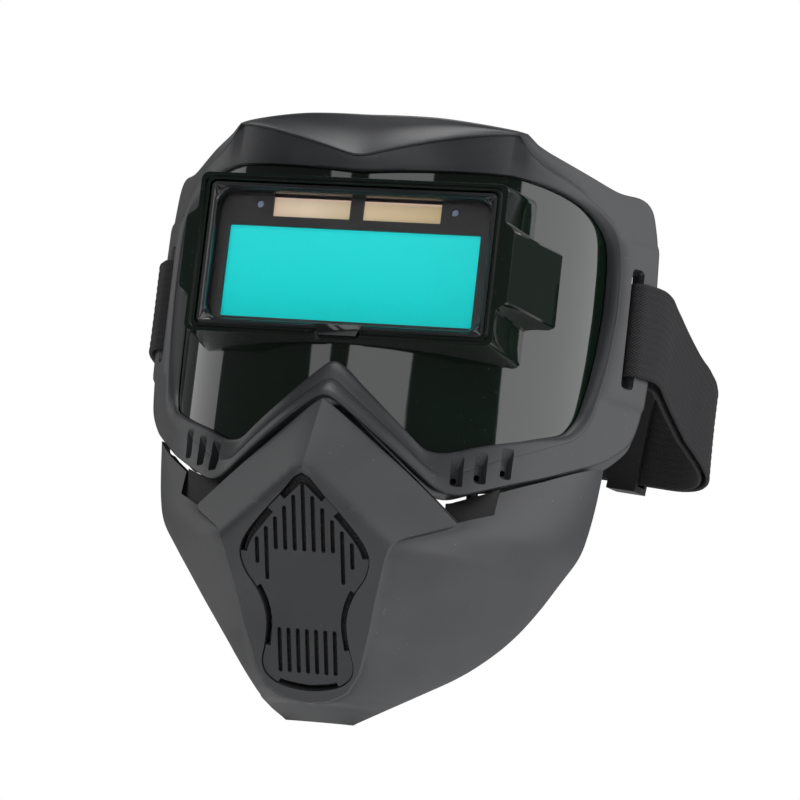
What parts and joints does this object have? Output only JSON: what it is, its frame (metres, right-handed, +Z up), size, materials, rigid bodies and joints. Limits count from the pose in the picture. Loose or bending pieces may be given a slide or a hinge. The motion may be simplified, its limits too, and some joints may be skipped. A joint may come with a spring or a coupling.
{
  "type": "welding goggles",
  "caption": "Wrap-round welding goggles with a slide-in auto-darkening filter box, detachable lower face mask with breathing grille, and elastic headband.",
  "frame": {"origin": "middle of the face opening between the wearer's eyes, level with the middle of the filter window and 34 mm behind it", "axes": "+X to the viewer's right, +Y back towards the wearer, +Z up"},
  "size_m": [0.2192, 0.2263, 0.2274],
  "materials": {
    "frame_rubber": "soft matte black moulding",
    "visor_tint": "glossy black-green polycarbonate",
    "foam": "black closed-cell foam",
    "sponge": "black open-cell sponge",
    "filter_case": "dark satin",
    "window_coating": "cyan-teal reflective filter glass",
    "dark_glass": "dark glass",
    "solar_cell": "tan photovoltaic strip",
    "sensor": "dark domed lens",
    "board": "circuit board",
    "cell_steel": "coin cell",
    "retainer_gloss": "glossy black",
    "clear_plate": "clear polycarbonate",
    "mask_plastic": "matte dark grey moulding",
    "webbing": "ribbed elastic webbing",
    "buckle_plastic": "moulded black"
  },
  "bodies": {
    "goggles": {"goggle_frame": "frame_rubber", "visor": "visor_tint", "face_foam": "foam", "inner_cover": "clear_plate"},
    "filter": {"filter_case_front": "filter_case", "filter_case_back": "filter_case", "window_glass": "window_coating", "shutter_cell": "dark_glass", "rear_glass": "dark_glass", "circuit_board": "board", "solar_cell_left": "solar_cell", "solar_cell_right": "solar_cell", "arc_sensor_left": "sensor", "arc_sensor_right": "sensor", "coin_cell_left": "cell_steel", "coin_cell_right": "cell_steel"},
    "retainer": {"retaining_frame": "retainer_gloss", "cover_plate": "clear_plate"},
    "mask": {"mask_shell": "mask_plastic", "filter_sponge": "sponge", "sponge_clamp": "mask_plastic", "mask_peg_left": "mask_plastic", "mask_peg_right": "mask_plastic"},
    "grille": {"grille_insert": "mask_plastic"},
    "band": {"headband": "webbing"},
    "buckle_l": {"buckle_left": "buckle_plastic"},
    "buckle_r": {"buckle_right": "buckle_plastic"}
  },
  "joints": [
    {"name": "filter_slide", "type": "slide", "parent": "goggles", "child": "filter", "axis": [0, -1, 0], "range_m": [0, 0.035]},
    {"name": "retainer_slide", "type": "slide", "parent": "filter", "child": "retainer", "axis": [0, -1, 0], "range_m": [0, 0.02]},
    {"name": "mask_slide", "type": "slide", "parent": "goggles", "child": "mask", "axis": [0, 0, -1], "range_m": [0, 0.06]},
    {"name": "grille_slide", "type": "slide", "parent": "mask", "child": "grille", "axis": [0, -0.8973, -0.4415], "range_m": [0, 0.012]},
    {"name": "band_tilt", "type": "hinge", "parent": "goggles", "child": "band", "pos_m": [0, 0.031, -0.002], "axis": [1, 0, 0], "range_deg": [-3, 3]},
    {"name": "buckle_left_slide", "type": "slide", "parent": "band", "child": "buckle_l", "axis": [0.9729, 0.2021, 0.1123], "range_m": [-0.001, 0.005]},
    {"name": "buckle_right_slide", "type": "slide", "parent": "band", "child": "buckle_r", "axis": [-0.9729, 0.2021, 0.1123], "range_m": [-0.001, 0.005]}
  ]
}
